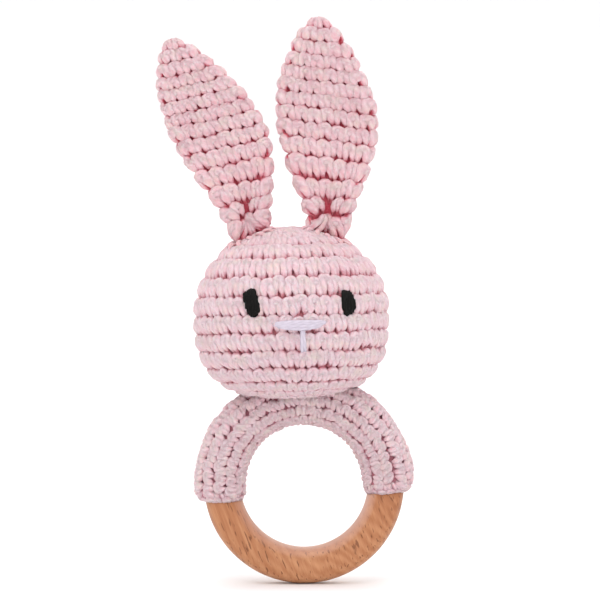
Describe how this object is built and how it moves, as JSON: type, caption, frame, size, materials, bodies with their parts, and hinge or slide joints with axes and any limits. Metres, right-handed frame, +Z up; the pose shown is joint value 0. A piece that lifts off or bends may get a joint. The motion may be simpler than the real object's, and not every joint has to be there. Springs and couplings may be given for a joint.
{
  "type": "teething ring",
  "caption": "Crochet bunny rattle with long ears, sewn to a crochet sleeve round the top of a wood teething ring.",
  "frame": {"origin": "centre of the wood ring", "axes": "+Z up from the ring to the ears, -Y is the bunny's face side, +X is the viewer's right"},
  "size_m": [0.0693, 0.0546, 0.1557],
  "materials": {
    "beech": "oiled satin beech",
    "crochet_sleeve": "dusty pink cotton crochet",
    "crochet_head": "pale pink cotton crochet",
    "crochet_ears": "pale pink cotton crochet",
    "sewing_yarn": "pink cotton yarn",
    "black_thread": "satin embroidery thread",
    "pale_thread": "satin embroidery thread",
    "fibre_filling": "polyester fibre",
    "rattle_plastic": "moulded",
    "rattle_steel": "polished ball"
  },
  "bodies": {
    "ring": {"wood_ring": "beech"},
    "sleeve": {"ring_sleeve": "crochet_sleeve", "sleeve_seam": "sewing_yarn"},
    "head": {"head_shell": "crochet_head", "head_filling": "fibre_filling", "rattle_case_top": "rattle_plastic", "rattle_case_bottom": "rattle_plastic", "neck_seam": "sewing_yarn", "ear_left_seam": "sewing_yarn", "ear_right_seam": "sewing_yarn", "eye_left": "black_thread", "eye_right": "black_thread", "nose_stitches": "pale_thread", "mouth_stitches": "pale_thread"},
    "ear_left": {"ear_left": "crochet_ears"},
    "ear_right": {"ear_right": "crochet_ears"},
    "bead_1": {"rattle_bead_1": "rattle_steel"},
    "bead_2": {"rattle_bead_2": "rattle_steel"},
    "bead_3": {"rattle_bead_3": "rattle_steel"}
  },
  "joints": [
    {"name": "ring_turn", "type": "hinge", "parent": "ring", "child": "sleeve", "pos_m": [0, 0, 0], "axis": [0, 1, 0], "continuous": true},
    {"name": "head_nod", "type": "hinge", "parent": "sleeve", "child": "head", "pos_m": [0, 0, 0.02335], "axis": [1, 0, 0], "range_deg": [-10, 10], "stiffness_Nm_per_rad": 0.15},
    {"name": "ear_left_flop", "type": "hinge", "parent": "head", "child": "ear_left", "pos_m": [-0.01485, -0.005, 0.07068], "axis": [0.9397, 0, 0.342], "range_deg": [-30, 30], "stiffness_Nm_per_rad": 0.006},
    {"name": "ear_right_flop", "type": "hinge", "parent": "head", "child": "ear_right", "pos_m": [0.0063, -0.005, 0.07128], "axis": [0.9511, 0, -0.309], "range_deg": [-30, 30], "stiffness_Nm_per_rad": 0.006},
    {"name": "bead_1_roll", "type": "hinge", "parent": "head", "child": "bead_1", "pos_m": [-0.0035, -0.006, 0.0492], "axis": [0, 1, 0], "range_deg": [-150, 150]},
    {"name": "bead_2_roll", "type": "hinge", "parent": "head", "child": "bead_2", "pos_m": [-0.0035, 0, 0.0492], "axis": [0, 1, 0], "range_deg": [-150, 150]},
    {"name": "bead_3_roll", "type": "hinge", "parent": "head", "child": "bead_3", "pos_m": [-0.0035, 0.006, 0.0492], "axis": [0, 1, 0], "range_deg": [-150, 150]}
  ]
}
